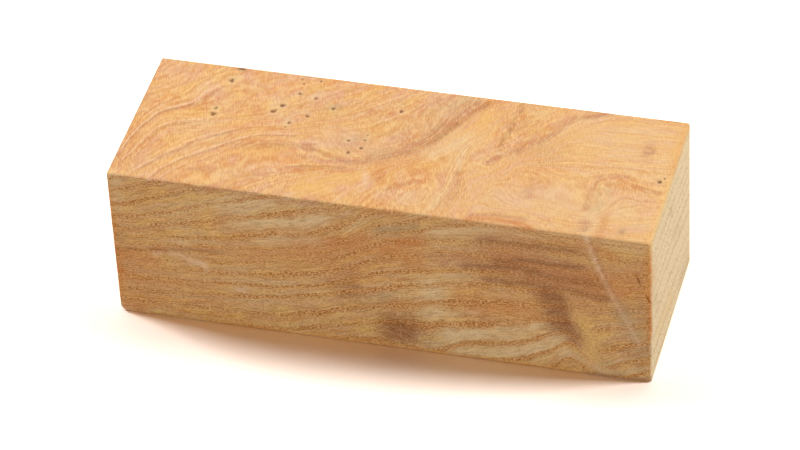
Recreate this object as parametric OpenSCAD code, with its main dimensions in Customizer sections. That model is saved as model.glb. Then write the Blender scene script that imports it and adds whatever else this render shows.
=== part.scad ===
// Stabilized burl wood block: one sawn and sanded piece with eased edges, a bumped lower corner,
// open burl eyes on the upper face and short drying checks in the front face by its right end.
// Millimetres, +Z up, origin at the middle of the underside, front face towards -Y.

/* [Block] */
// Length along the grain (X)
block_length = 120; // [80:1:160]
// Width from the front face to the back face (Y)
block_width = 42; // [30:1:60]
// Height from the underside to the upper face (Z)
block_height = 39; // [25:1:60]
// Radius of the sanded ease along every edge
edge_ease = 0.5; // [0.2:0.1:2]

/* [Bumped corner] */
// Length that each edge loses at the lower left corner of the front face
corner_loss = 1.4; // [1:0.1:4]

/* [Burl eyes] */
// Opening of a large eye
eye_large = 1.8; // [1:0.1:3]
// Opening of a middling eye
eye_middling = 1.3; // [0.8:0.1:2.5]
// Opening of a small eye
eye_small = 0.9; // [0.8:0.1:2]
// Depth of an open eye below the upper face
eye_depth = 0.3; // [0.1:0.05:0.4]

/* [Drying checks] */
// Length of a check along the front face
check_length = 3.4; // [2:0.1:8]
// Opening of a check at its middle
check_opening = 0.35; // [0.2:0.05:0.8]
// Depth of a check into the front face
check_depth = 1.2; // [0.4:0.1:4]
// Lean of the checks from upright, lower end towards the right end
check_lean = 22; // [0:1:45]

/* [Hidden] */
// Eyes as [distance from the left end, distance from the back face, opening]
LEFT_EYES = [
    [17.7, 5.1, eye_large],
    [17.0, 15.2, eye_middling],
    [17.0, 17.4, eye_large]
];
MIDDLE_EYES = [
    [33.0, 1.7, eye_small],
    [33.8, 3.2, eye_small],
    [37.3, 1.5, eye_small],
    [33.9, 6.7, eye_middling],
    [37.6, 7.7, eye_middling],
    [31.2, 11.5, eye_large],
    [29.7, 13.9, eye_large],
    [37.6, 14.1, eye_middling],
    [34.2, 17.1, eye_middling],
    [33.9, 18.7, eye_small],
    [42.5, 10.4, eye_middling]
];
CLUSTER_EYES = [
    [52.2, 17.9, eye_small],
    [50.1, 19.7, eye_small],
    [52.0, 19.8, eye_small],
    [48.6, 20.6, eye_middling],
    [52.0, 22.6, eye_middling],
    [49.6, 24.7, eye_middling],
    [57.4, 8.5, eye_middling]
];
RIGHT_EYES = [
    [118.4, 20.0, eye_small],
    [117.6, 21.3, eye_middling]
];
EYES = concat(LEFT_EYES, MIDDLE_EYES, CLUSTER_EYES, RIGHT_EYES);
// Checks as [distance from the right end, distance below the upper face], both to the middle
CHECKS = [
    [2.6, 10.5],
    [0.6, 15.4]
];
WOOD = [0.87, 0.68, 0.46];
// Tilt from upright of the diagonal through a cube's corner
CORNER_TILT = acos(1 / sqrt(3));
// Radius of the two arcs that bound a check
check_arc = (pow(check_length, 2) + pow(check_opening, 2)) / (4 * check_opening);
$fn = 64;

// A bar of the given section along Z, through the origin, with its four long edges rounded
module eased_bar(width, depth, length) {
    linear_extrude(length, center = true)
        union() {
            square([width - 2 * edge_ease, depth], center = true);
            square([width, depth - 2 * edge_ease], center = true);
            for (x = [-1, 1], y = [-1, 1])
                translate([x * (width / 2 - edge_ease), y * (depth / 2 - edge_ease)])
                    circle(r = edge_ease);
        }
}

// The sawn block with every edge eased: three eased bars crossing at right angles
module eased_block() {
    translate([0, 0, block_height / 2])
        intersection() {
            eased_bar(block_length, block_width, block_height);
            rotate([90, 0, 0])
                eased_bar(block_length, block_height, block_width);
            rotate([0, 90, 0])
                eased_bar(block_height, block_width, block_length);
        }
}

// The wood outside the flat on the lower left front corner, square to the corner's diagonal
module corner_chip() {
    chip = 4 * corner_loss;
    translate([-block_length / 2, -block_width / 2, 0])
        rotate([0, CORNER_TILT, 45])
            translate([0, 0, corner_loss / sqrt(3) - chip / 2])
                cube(chip, center = true);
}

// A ball that leaves a shallow round pit of the given opening in the upper face
module eye(opening) {
    ball = (pow(opening / 2, 2) + pow(eye_depth, 2)) / (2 * eye_depth);
    translate([0, 0, block_height + ball - eye_depth])
        sphere(r = ball);
}

// A slit with a pointed oval mouth, where two shallow arcs meet, along Z and into +Y
module drying_check() {
    rotate([90, 0, 0])
        intersection_for(side = [-1, 1])
            translate([side * (check_arc - check_opening / 2), 0, 0])
                cylinder(r = check_arc, h = 2 * check_depth, center = true);
}

module block() {
    color(WOOD)
        difference() {
            eased_block();
            corner_chip();
            for (e = EYES)
                translate([e[0] - block_length / 2, block_width / 2 - e[1], 0])
                    eye(e[2]);
            for (c = CHECKS)
                translate([block_length / 2 - c[0], -block_width / 2, block_height - c[1]])
                    rotate([0, -check_lean, 0])
                        drying_check();
        }
}

block();
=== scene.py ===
import math

import bpy
import numpy as np
from bpy.props import FloatProperty, FloatVectorProperty, PointerProperty
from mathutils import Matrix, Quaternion, Vector


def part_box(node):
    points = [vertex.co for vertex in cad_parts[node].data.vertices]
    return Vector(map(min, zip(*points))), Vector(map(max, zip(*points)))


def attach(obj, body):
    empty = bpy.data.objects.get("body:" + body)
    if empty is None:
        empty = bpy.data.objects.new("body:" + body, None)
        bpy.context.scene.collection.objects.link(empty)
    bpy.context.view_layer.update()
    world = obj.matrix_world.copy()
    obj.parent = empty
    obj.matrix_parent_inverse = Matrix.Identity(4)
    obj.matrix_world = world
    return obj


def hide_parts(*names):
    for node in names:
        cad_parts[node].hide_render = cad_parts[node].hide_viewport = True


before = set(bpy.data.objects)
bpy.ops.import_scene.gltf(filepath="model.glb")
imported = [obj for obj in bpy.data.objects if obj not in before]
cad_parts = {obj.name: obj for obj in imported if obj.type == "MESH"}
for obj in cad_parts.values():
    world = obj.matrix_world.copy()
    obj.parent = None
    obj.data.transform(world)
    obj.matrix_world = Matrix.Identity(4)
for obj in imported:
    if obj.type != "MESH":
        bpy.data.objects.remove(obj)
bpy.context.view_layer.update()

bl_info = {
    "name": "Burl Wood Block",
    "version": (1, 0, 0),
    "blender": (4, 5, 0),
    "location": "3D View > Sidebar > Burl",
    "description": "Builds a stabilized burl wood block and a plain stage to look at it",
    "category": "Object",
}

MM = 0.001
BLOCK_NODE = "block"
SEED = 11

# Open burl eyes on the upper face: mm from the left end, mm from the back face, opening
EYES = (
    (17.7, 5.1, "large"), (17, 15.2, "middling"), (17, 17.4, "large"), (33, 1.7, "small"),
    (33.8, 3.2, "small"), (37.3, 1.5, "small"), (33.9, 6.7, "middling"), (37.6, 7.7, "middling"),
    (31.2, 11.5, "large"), (29.7, 13.9, "large"), (37.6, 14.1, "middling"), (34.2, 17.1, "middling"),
    (33.9, 18.7, "small"), (42.5, 10.4, "middling"), (52.2, 17.9, "small"), (50.1, 19.7, "small"),
    (52, 19.8, "small"), (48.6, 20.6, "middling"), (52, 22.6, "middling"), (49.6, 24.7, "middling"),
    (57.4, 8.5, "middling"), (118.4, 20, "small"), (117.6, 21.3, "middling"),
)

# Drying checks in the front face: mm from the right end, mm below the upper face, to the middle
CHECKS = ((2.6, 10.5), (0.6, 15.4))

# Growth rings drawn on the front face: ring number, then places as mm from the left end and
# mm below the upper face
FRONT_RINGS = (
    (-3, (4, 3), (8, 1.3), (12, 0)),
    (-2, (3, 7), (8, 5), (13, 3), (18, 1.5), (23, 0)),
    (-1, (5, 10.5), (10.5, 9.3), (17, 6.8), (22, 4.5), (27, 3), (31, 1), (36, 0)),
    (0, (4, 14), (9, 12.5), (16, 10.5), (22, 9), (28, 7), (33, 5.6), (38, 4.2), (46, 2), (51, 0)),
    (1, (4, 16.6), (15, 15), (23, 13.8), (33, 11.2), (42, 9.2), (50, 6), (53, 4.5), (56, 2.5), (61, 0)),
    (2, (3, 19), (10, 18), (24, 16.8), (38, 14.5), (46, 12.8), (53, 10), (60, 4.5), (67, 2), (71.5, 0)),
    (3, (0, 21), (12, 19.8), (25, 18.6), (38, 16.5), (46, 14.8), (52, 12.6), (57, 9), (62, 6), (69, 4.5)),
    (3, (69, 4.5), (74, 2), (78, 1.2), (83, 0)),
    (3, (97, 0), (105, 1.2), (120, 0.8)),
    (4, (0, 23), (10, 22), (25, 20.6), (38, 18), (46, 16.5), (54, 13.3), (60, 8.7), (70, 6.8), (82, 5)),
    (4, (82, 5), (88, 4.6), (95, 4.8), (105, 5), (120, 4.5)),
    (5, (10, 25.5), (38, 21.5), (50, 18.8), (60, 13.3), (75, 9), (86, 8.6), (100, 9.6), (110, 9.4),
     (120, 8.5)),
    (6, (10, 27.5), (38, 25.5), (50, 22), (60, 17.3), (75, 14), (86, 12.3), (100, 12.9), (110, 12.6),
     (120, 11.5)),
    (7, (10, 31.5), (38, 28), (50, 24.8), (60, 21.6), (75, 17.8), (86, 16.5), (100, 16), (110, 15.8),
     (120, 14.3)),
    (8, (10, 34.5), (38, 33), (50, 29.5), (60, 26.8), (75, 22.5), (86, 21), (100, 20), (110, 19.6),
     (120, 17.5)),
    (9, (10, 38), (38, 37.5), (50, 34), (60, 31), (75, 29.3), (86, 27), (97, 24), (102, 23.5),
     (106, 25.5)),
    (9, (106, 25.5), (112, 24), (120, 21.5)),
    (10, (50, 38), (57, 36.5), (64, 37.5), (70, 37.6), (78, 34.5), (90, 32), (97, 29), (101, 26.8),
     (104, 29)),
    (10, (104, 29), (107, 31), (111, 30), (115, 28.8), (120, 27)),
    (11, (80, 39.5), (85, 38), (90, 36.5), (95, 34.5), (100, 31.5), (103, 30), (106, 34), (109, 35.8)),
    (11, (109, 35.8), (113, 34.5), (116, 33), (120, 31)),
    (12, (96, 38.5), (100, 36), (103, 34), (107, 38), (112, 38.8), (116, 37), (120, 35.3)),
)

# Growth rings drawn on the upper face: ring number, then places as mm from the left end and
# mm from the back face
TOP_RINGS = (
    (-7, (0, 12), (3, 10), (6, 7), (8, 4), (9, 0)),
    (-6, (0.3, 38), (0.6, 36), (1.5, 30), (2.1, 27), (3.2, 23), (5.2, 19.3), (8, 17), (11.5, 15.3),
     (13, 13.3)),
    (-6, (13, 13.3), (13.5, 11), (14.5, 8.5), (17, 6.5), (22, 3), (24, 0)),
    (-5, (2.3, 36.5), (3, 34.5), (4.5, 31), (5.6, 27), (6.5, 24.7), (8.3, 22.7), (11, 21.3), (14, 20.6)),
    (-5, (14, 20.6), (20, 19), (28, 15.5), (38, 9), (45, 4), (50, 0)),
    (-4, (5.5, 42), (7, 38.5), (9, 36), (10.5, 33.5), (13, 31), (15, 28), (18.5, 25.2), (22, 22.8),
     (26, 20.8)),
    (-4, (26, 20.8), (30, 19.5), (36, 18), (46, 13), (56, 5), (60, 0)),
    (-3, (9.8, 42), (11.2, 38), (13.2, 35.5), (16.2, 32.5), (20.3, 29), (24.3, 25.6), (27.2, 23.5),
     (30, 22.3)),
    (-3, (30, 22.3), (35, 21.3), (45, 19), (52, 17), (58, 12), (62, 6), (66, 0)),
    (-2, (23, 42), (30, 36), (38, 32), (46, 30), (52, 28), (57, 25.5), (62, 22), (66, 18.5), (69, 13)),
    (-2, (69, 13), (71, 8), (74, 3), (75, 0)),
    (-1, (36, 42), (42, 36.5), (48, 33), (53, 30), (58, 26.8), (64, 23), (68, 19.5), (71, 14.5), (74, 8)),
    (-1, (74, 8), (77, 3), (79, 0)),
    (0, (51, 42), (54, 37), (56.5, 32), (62, 25.5), (66, 22), (70, 17), (75, 10), (80, 4), (83, 0)),
    (1, (61, 42), (62, 36), (64, 33.5), (68, 30.5), (70, 25), (73, 17), (77, 10), (82, 3), (84.5, 0)),
    (2, (71.5, 42), (73, 38), (74, 33), (74.7, 25), (76, 18), (79, 12), (83, 5), (86, 0)),
    (2.15, (92, 0), (88, 7), (84, 13), (80.5, 18), (78, 23)),
    (2.3, (100, 0), (94, 7), (88, 16), (84, 20), (81, 24)),
    (3, (106, 2.5), (120, 2)),
    (4, (99, 8.5), (108, 8), (120, 7.5)),
    (5, (95, 14), (106, 13.5), (120, 13)),
    (6, (86, 22), (93, 20), (101, 18.5), (110, 18), (120, 17.5)),
    (7, (103.5, 34), (103.6, 27), (105, 23), (109, 21), (113, 23.5), (120, 24.8)),
    (7, (83, 29), (90, 30), (97, 31), (102, 34)),
    (8, (80, 37.5), (86, 37), (95, 37.5), (103, 39), (110, 37), (120, 34)),
    (9, (83, 42), (86, 40.3), (90, 39.5), (94, 40.5), (97, 42)),
)

# Stains drawn face by face: spread in mm, strength, then places. Front and back places are mm from
# the left end and mm below the upper face; top and bottom places are mm from the left end and mm from the
# back face; end places are mm from the front face and mm below the upper face.

# Orange brown streaks, and the orange of a painted highlight along the lower and right front edges
RUST_AND_EDGE_HIGHLIGHT = {
    "back": (
        (3, 0.4, (8, 12), (22, 9), (40, 12)), (2.2, 0.45, (60, 24), (74, 20), (92, 23)),
        (1.4, 0.45, (30, 31), (48, 33)), (0.6, 0.45, (0, 39), (120, 39)),
    ),
    "bottom": (
        (2.4, 0.4, (12, 10), (34, 16), (60, 14)), (2, 0.4, (70, 30), (96, 27), (112, 31)),
    ),
    "left": (
        (1.2, 0.4, (0.4, 6), (0.4, 34)), (0.8, 0.3, (4, 0.3), (38, 0.3)),
    ),
    "right": (
        (1.2, 0.45, (0.2, 4), (0.2, 26)), (0.8, 0.3, (24, 0.2), (42, 0.2)),
    ),
    "front": (
        (5, 0.48, (88, 9), (98, 12), (108, 14), (117, 11)), (1.5, 0.3, (92, 4), (104, 4)),
        (1.6, 0.7, (64, 8.6), (69.5, 8)), (2.6, 0.5, (62, 11.5), (68, 12.5)),
        (2, 0.6, (50, 11.5), (54, 10.5), (57, 8.5)), (2, 0.4, (56, 13), (60, 11)),
        (0.9, 0.45, (0.4, 3), (0.5, 22), (0.7, 30), (1.2, 37)), (1.8, 0.45, (2, 22.5), (9, 23)),
        (1.5, 0.45, (1, 28), (3.5, 28.5)), (2, 0.45, (2, 36), (5, 37.5)),
        (3, 0.5, (79, 22.5), (84, 24), (93, 23)), (1.2, 0.45, (105, 2), (112, 5)),
        (1.5, 0.25, (106, 11), (112, 14)), (0.4, 0.6, (0, 21.1), (6, 20.4), (12, 19.6)),
        (0.6, 0.45, (10, 19.3), (18, 18.4), (24, 18)), (1.2, 0.45, (58, 0.5), (66, 1)),
        (0.8, 0.2, (84, 0.4), (120, 0.4)), (3, 0.28, (27, 17.4), (36, 16.6), (47, 14.6)),
        (6, 0.16, (3, 28), (22, 31)), (4, 0.3, (46, 13.5), (51, 19), (57, 22)),
        # Both strokes below tint the painted highlight along the eased lower and right front edges orange
        (0.8, 0.5, (20, 38.9), (104, 38.9)), (0.8, 0.3, (119.7, 1), (119.7, 24)),
        (0.7, 0.45, (119.6, 19), (119.6, 26)),
    ),
    "top": (
        (0.9, 0.5, (75, 2.2), (79, 0.4)), (0.9, 0.18, (66, 18.4), (69.6, 12), (73, 5.4), (76, 2)),
        (1.5, 0.55, (58, 30), (58.6, 33)), (2.5, 0.3, (58, 27), (64, 26), (66, 29)),
        (1, 0.5, (61, 40.5), (64, 41)),
        (0.8, 0.75, (80, 41.8), (84, 40.9), (88, 40.5), (92, 41), (94, 42)),
        (0.9, 0.5, (37, 33.2), (41, 32.8), (46, 31.5), (50, 30.8), (52, 30)),
        (0.6, 0.4, (22, 22.8), (26, 20.8), (30, 19.7), (34, 19.6)), (0.8, 0.3, (26, 25.2), (28.8, 24.9)),
        (0.6, 0.35, (5.6, 29), (6.3, 25.5), (8, 22.9), (11, 21.3)), (1, 0.15, (61, 18), (65, 14)),
        (0.8, 0.6, (70.4, 22.8), (70.6, 23.8)), (1.5, 0.22, (109.5, 23.2), (114, 25.6)),
        (0.9, 0.45, (108.6, 35.5), (108.4, 42)), (0.5, 0.4, (0, 0), (24, 0)),
        (1.6, 0.35, (1.5, 24), (3, 31), (2, 38)), (1.6, 0.4, (13.5, 12), (14.5, 15.5)),
        (1.4, 0.15, (7, 25), (6.5, 30), (5, 36)), (1.2, 0.3, (23, 25.5), (33, 24)),
        (0.5, 0.35, (100, 0), (120, 0)), (1, 0.3, (83.5, 2.5), (84.3, 8)),
        (1, 0.35, (94.5, 3.8), (93, 5.5)), (0.9, 0.35, (88.3, 13), (87, 15)),
        (1.4, 0.3, (8, 15), (13, 16)), (1.6, 0.3, (23, 13), (28, 15.5)),
        (1.2, 0.35, (50, 9.6), (57, 9.8)),
    ),
}

# Dark brown streaks, and one painted band of shade from the wood's shifting sheen
UMBER_AND_SHEEN_SHADE = {
    "back": (
        (2.8, 0.6, (96, 10), (99, 12)), (0.9, 0.5, (70, 15), (88, 12), (104, 15)),
        (0.8, 0.45, (14, 25), (30, 22), (44, 24)),
    ),
    "bottom": (
        (2.4, 0.5, (84, 12), (88, 14)), (0.8, 0.45, (20, 28), (44, 31), (62, 28)),
    ),
    "front": (
        (3.2, 0.75, (63, 32.2), (66, 32.8)), (1.2, 0.5, (62, 36.2), (67, 36.2)),
        (4, 0.35, (62, 34), (66, 31.5)), (0.9, 0.5, (49, 22.8), (55, 22.4)),
        (1, 0.5, (51, 25.5), (54, 25)), (0.8, 0.65, (83, 5.4), (90, 4.6), (104, 4.8)),
        (6, 0.22, (86, 9), (104, 12)), (0.8, 0.65, (86, 10.4), (93, 9), (105, 9.2)),
        (1, 0.6, (80, 13), (86, 11.8), (92, 11.4), (100, 12.9), (110, 13.2)),
        (1.1, 0.65, (84, 16), (92, 15.4), (100, 15.4), (110, 16.6)),
        (1.6, 0.8, (97, 17.4), (99.5, 18.8), (101, 21)),
        (1.9, 0.75, (99.6, 22.5), (101.3, 25), (103, 28.5)), (0.6, 0.6, (106, 38.5), (120, 38.5)),
        (0.8, 0.4, (80, 29.3), (84, 28.6)), (0.7, 0.35, (110, 29.8), (115, 30.8)),
        # The second stroke below is painted shade: a faint darker band of the wood's shifting sheen
        (2.6, 0.85, (97, 18), (98.5, 22), (99.5, 26)), (3, 0.18, (53, 17), (54, 26)),
        (2.5, 0.2, (80, 14), (94, 13.5)), (1.5, 0.25, (118, 17), (119, 23)),
    ),
    "top": (
        (0.8, 0.35, (66, 18.4), (68.2, 15), (69.6, 12), (71.2, 8.4), (73, 5.4), (75.5, 2.8)),
        (0.8, 0.25, (57, 25), (62, 22.3), (66, 18.8)), (2.4, 0.1, (62, 8), (66, 12), (65, 18)),
        (0.4, 0.15, (46, 27.2), (50, 27.8), (55, 26.4)),
        (0.5, 0.3, (20, 27.5), (30, 25.6), (40, 24.2), (45, 26)),
        (0.4, 0.4, (38, 31.9), (45, 30.6), (50, 29.8)), (0.8, 0.3, (61, 35.6), (63, 33.6), (66.5, 31.2)),
        (0.45, 0.6, (83, 0.5), (82.7, 5), (82.5, 9), (81.8, 14), (81.2, 18)),
        (0.3, 0.5, (0, 0), (60, 0), (120, 0)), (0.8, 0.9, (18.7, 0.3), (18.9, 0.4)),
        (0.3, 0.5, (34.9, 10.7), (35.2, 10.7)), (0.7, 0.25, (75.5, 26), (76, 32), (75.5, 38)),
        (0.4, 0.3, (16, 24.8), (20, 24.3), (22.5, 23.1)), (0.4, 0.3, (31, 25.2), (36, 24.7), (42, 23.2)),
    ),
}

# Grey patches
ASH = {
    "right": (
        (1, 0.4, (20.6, 6.8), (21.8, 9)), (3, 0.25, (32, 36), (40, 37)), (2, 0.2, (24, 17), (30, 20)),
        (2, 0.2, (4, 18), (7, 24)),
    ),
    "front": (
        (1.4, 0.6, (61, 5.5), (65, 5), (69, 4.2)), (2, 0.5, (57, 26.5), (61, 24.6)),
        (2.4, 0.55, (113.5, 20), (116, 25), (117.5, 29)), (1.5, 0.45, (116, 33), (118, 36)),
        (1.5, 0.4, (110, 35), (112, 36.5)), (0.8, 0.6, (117.3, 9), (117.8, 11)),
        (1, 0.4, (1.9, 16.5), (1.9, 18)), (2, 0.3, (114, 20), (112, 17)),
        (1.5, 0.35, (118, 29), (118, 32)),
    ),
    "top": (
        (3, 0.25, (49, 22), (51.5, 20.5)), (9, 0.12, (44, 14), (56, 14)),
        (1.5, 0.4, (55, 24.5), (57.5, 23)), (1.4, 0.45, (42.3, 10.4), (43, 10.6)),
        (0.8, 0.8, (113.3, 39), (113.5, 39.4)), (0.6, 0.4, (64.4, 2.8), (64.8, 3)),
        (0.7, 0.3, (57, 5.5), (57.3, 6.5)), (0.6, 0.5, (117.3, 21), (117.8, 21.6)),
        (1.6, 0.2, (106.4, 25), (106.4, 33)), (5, 0.2, (84, 8), (92, 16)), (3, 0.28, (65, 6), (71, 2)),
    ),
}

# Pale patches
CREAM = {
    "back": (
        (2.2, 0.75, (22, 16), (36, 18), (50, 16)), (2, 0.7, (76, 31), (92, 29), (106, 32)),
        (1.6, 0.6, (56, 6), (70, 5)),
    ),
    "bottom": (
        (2.4, 0.6, (30, 34), (52, 36), (70, 37)), (2.2, 0.6, (88, 21), (108, 19)),
    ),
    "front": (
        (1.9, 0.9, (27, 9.4), (35, 7.8), (42, 6.6), (48, 4.8)),
        (1.5, 0.8, (33, 13), (40, 11.8), (46, 10.6)), (1.4, 0.75, (25, 5), (31, 3.6), (37, 2.4)),
        (1.2, 0.5, (54, 7), (56, 5)), (1.4, 0.65, (72, 4.3), (78, 3.5), (86, 2.6)),
        (3, 0.75, (71.5, 20), (73, 24), (72.5, 28)), (2, 0.25, (75, 17.5), (80, 15)),
        (1.6, 0.8, (86, 29.8), (91, 28.3), (95, 26.6)), (1.6, 0.9, (75, 32.4), (83, 31)),
        (2, 0.9, (77, 37), (86, 35.5), (93, 33.6)), (1.6, 0.9, (95, 32), (100, 29)),
        (1.2, 0.5, (93, 37), (97, 35.5)), (5, 0.3, (78, 33), (94, 31)), (2, 0.5, (109, 37), (116, 36)),
        (2, 0.4, (57, 25.5), (60, 24)), (1.6, 0.45, (86, 0.8), (120, 0.8)), (2, 0.65, (1, 1), (1, 9)),
        (1.6, 0.6, (101, 34), (104, 35)), (1.6, 0.5, (96, 34), (100, 33)), (1.5, 0.4, (69, 25), (71, 28)),
    ),
    "top": (
        (2.6, 0.65, (68, 21.5), (71, 18.5), (73.5, 15)), (1.5, 0.4, (72, 22), (71, 25)),
        (0.6, 0.8, (73.6, 16), (74.2, 20), (74.2, 26), (73.9, 31), (73, 36), (72, 38.5), (70.8, 41.8)),
        (1.2, 0.5, (29.4, 10.8), (29.8, 11.6)), (0.9, 0.45, (32.2, 15), (33, 17)),
        (0.9, 0.4, (17.2, 4), (18.4, 3.8)), (0.8, 0.3, (16.2, 14), (16, 16)),
        (0.9, 0.5, (81.8, 18.6), (82.6, 18.3)), (1.5, 0.3, (37, 36), (38, 37.5)),
        (1.2, 0.35, (67.2, 21.5), (67.9, 22)), (8, 0.45, (102, 10), (113, 6)),
        (7, 0.45, (84, 33), (98, 34), (112, 31)), (4, 0.5, (65, 38), (71, 36)),
        (5, 0.4, (97, 30), (101, 27)), (4, 0.4, (112, 32), (117, 36)), (3.5, 0.35, (110, 16), (116, 15)),
        (0.6, 0.55, (104.6, 0.8), (98, 3.8), (95, 6), (93.4, 9)),
        (0.7, 0.6, (80.5, 17.6), (82.5, 18.6), (85, 18)),
        (1.2, 0.7, (105.6, 25), (105.6, 31), (106.6, 35)), (3, 0.3, (13, 24), (20, 20.5)),
        (2.5, 0.4, (77.5, 16), (77.5, 24)), (1.8, 0.8, (105.5, 36), (106, 41)),
        (2.2, 0.4, (85, 2), (92, 4)), (2.5, 0.35, (118, 15), (118, 24)), (3, 0.35, (60, 13), (68, 14)),
        (1.6, 0.4, (104.5, 21), (105.5, 26)),
    ),
}

# Yellow patches, and a painted highlight along the lower and right front edges
HONEY_AND_EDGE_HIGHLIGHT = {
    "right": (
        (1.1, 0.4, (0, 0.4), (42, 0.4)), (3, 0.25, (8, 30), (20, 33)),
    ),
    "front": (
        (1.3, 0.55, (21.5, 9), (22, 12.5)), (1.5, 0.5, (23.5, 13.5), (24, 13.5)),
        (0.9, 0.4, (19.8, 6.6), (20.2, 7)), (2.2, 0.5, (104, 23), (106, 27), (107.5, 34)),
        (1.8, 0.45, (55, 33.5), (57, 35)), (1.5, 0.4, (72, 26), (72, 29)),
        # The first stroke below is a painted highlight: a bright orange line along the eased lower front
        # edge
        (0.9, 1, (20, 38.9), (104, 38.9)), (1, 0.75, (0.4, 1), (0.5, 34)),
        # The first stroke below is a painted highlight: a bright orange line down the eased right front
        # edge
        (0.8, 0.8, (119.6, 0), (119.6, 24)), (1.5, 0.5, (100, 0.8), (120, 0.8)),
    ),
    "top": (
        (2.6, 0.5, (43, 36.3), (48, 35), (52, 33.2)), (2, 0.45, (42, 39), (49, 38.5)),
        (4, 0.18, (86, 8), (97, 12)), (8, 0.12, (96, 16), (110, 14)),
        (2, 0.55, (76.5, 6), (75.5, 10), (74, 14)), (1.5, 0.45, (119.6, 2), (119.6, 41)),
        (5, 0.3, (6, 10), (14, 20)),
        (1.3, 0.4, (14.5, 13), (12.5, 17), (9, 19), (6.5, 21.5), (4.8, 25), (3.4, 30)),
        (4, 0.3, (12, 36), (16, 31)), (5, 0.18, (64, 27), (70, 24)), (3, 0.2, (62, 27), (65, 30)),
        (1.6, 0.4, (87.8, 27), (88.3, 30.5)), (1.2, 0.4, (27.5, 10), (28.5, 13)),
        (2.5, 0.3, (100, 38), (111, 38)),
    ),
}

# Pinkish brown streaks
ROSE = {
    "back": (
        (1.2, 0.4, (46, 26), (60, 30), (72, 29)), (1.6, 0.3, (104, 20), (116, 24)),
    ),
    "bottom": (
        (1, 0.45, (8, 20), (30, 23), (54, 21)),
    ),
    "front": (
        (0.8, 0.4, (12, 0.4), (30, 0.6), (48, 1.2)), (4, 0.22, (1, 25), (9, 29)),
        (2.2, 0.4, (74, 11.5), (80, 10.8)), (3, 0.15, (85, 10), (96, 8), (106, 12)),
        (1.5, 0.35, (103.5, 19.5), (108, 20.5)), (1.6, 0.4, (103, 27), (103.5, 30)),
        (0.5, 0.5, (106.9, 1), (109.4, 8.5), (110.8, 12.5), (112.6, 16.5), (114.4, 20)),
    ),
    "top": (
        (0.5, 0.5, (0.6, 36), (1.5, 30), (2.1, 27), (3.2, 23), (5.2, 19.3), (8, 17), (11.5, 15.3)),
        (0.5, 0.5, (11.5, 15.3), (13, 13.3), (13.4, 11)),
        (0.5, 0.5, (7, 38.5), (9, 36), (10.5, 33.5), (13, 31), (15, 28)),
        (0.5, 0.38, (40, 25.2), (45, 27), (50, 27.8), (55, 26.4)),
        (0.5, 0.38, (40, 28), (47, 28.8), (54, 27.6)), (0.8, 0.25, (46, 26.6), (49, 27.4), (52, 27.6)),
        (0.8, 0.7, (102, 0.4), (97.5, 2.6), (94.6, 4.5), (92.8, 7.5), (91.2, 10), (89.6, 13),
         (87.6, 15), (85.6, 17)),
        (0.9, 0.55, (85.6, 17), (82.6, 19.2), (80, 22)),
        (1.9, 0.58, (55, 26), (61, 21.6), (65, 17.4), (68, 11.8), (70.4, 7), (73.5, 3)),
        (0.7, 0.65, (81, 40.2), (86, 38.9), (92, 39.2)), (0.9, 0.6, (105, 37.3), (105.1, 39.8)),
        (0.7, 0.48, (104.4, 34), (104, 29), (104.3, 25), (105.5, 22.3), (108, 21.2), (110, 21)),
        (0.7, 0.48, (110, 21), (111.5, 22), (113, 23.7), (115, 24.6), (118, 24.9)),
        (2.5, 0.25, (59, 18), (63, 21)), (0.5, 0.6, (74.9, 27), (74.8, 31), (74.2, 36), (73, 39)),
        (0.5, 0.6, (112, 10.6), (112.9, 10.1), (113.8, 10.9), (113.7, 12.1), (112.8, 12.6), (112, 10.6)),
        (1.4, 0.28, (112.9, 9), (112.9, 13)), (1.4, 0.22, (91.2, 26), (91.5, 28), (91.3, 31)),
        (3, 0.2, (49, 22), (51.5, 20.5)), (0.7, 0.35, (24, 28), (32, 26.2), (42, 25)),
        (1.2, 0.25, (18, 37), (32, 36)),
        (0.4, 0.35, (103.6, 38), (104.4, 36.8), (105.4, 38), (105.4, 40.4), (104.4, 41.4), (103.6, 40)),
        (0.4, 0.45, (89.6, 30.6), (90.6, 30), (91.4, 30.8), (91, 32.2), (90, 32.4), (89.6, 30.6)),
    ),
}

# Where ring lines show on the upper face as a cream seam beside a brown one, written as stains are
SEAMS = {
    "top": (
        (2, 0.8, (0.6, 36), (2.1, 27), (5.2, 19.3), (11.5, 15.3), (13.5, 11), (14.5, 8.5)),
        (2, 0.8, (3, 34.5), (5.6, 27), (8.3, 22.7), (14, 20.6)),
        (2, 0.7, (7, 38.5), (10.5, 33.5), (15, 28), (22, 22.8)),
        (2, 1, (9.8, 42), (13.2, 35.5), (20.3, 29), (27.2, 23.5), (35, 21.3)),
    ),
}

# Whitish marks that lie over the figure, written as stains are
SCARS = {
    "front": (
        (0.35, 0.65, (106, 0), (107.1, 4), (108.6, 8.5), (109.4, 10.5)),
        (0.55, 0.32, (109.6, 11), (111.4, 15.5), (113.6, 20), (115.6, 24.5), (117.4, 28.5)),
        (0.5, 0.5, (9.3, 21.3), (10.6, 20.8)), (0.45, 0.5, (12.6, 20.4), (14.6, 20.3), (16.2, 21)),
        (0.75, 0.62, (17.3, 21.7), (18.8, 22), (20.6, 22.3)), (0.45, 0.4, (20.6, 22.8), (21, 24.4)),
        (0.5, 0.5, (27.6, 28.2), (29.5, 28.5)), (0.5, 0.35, (15.3, 17), (17.2, 17)),
    ),
    "top": (
        (0.7, 0.6, (55.1, 31), (55.6, 32.2), (56, 33.6)),
        (0.4, 0.45, (55.6, 34.4), (53.2, 37), (52, 39.5), (50.6, 42)),
        (0.5, 0.4, (81.8, 18.6), (82.6, 18.3)), (4, 0.22, (46, 20), (55, 22)),
    ),
}

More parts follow.
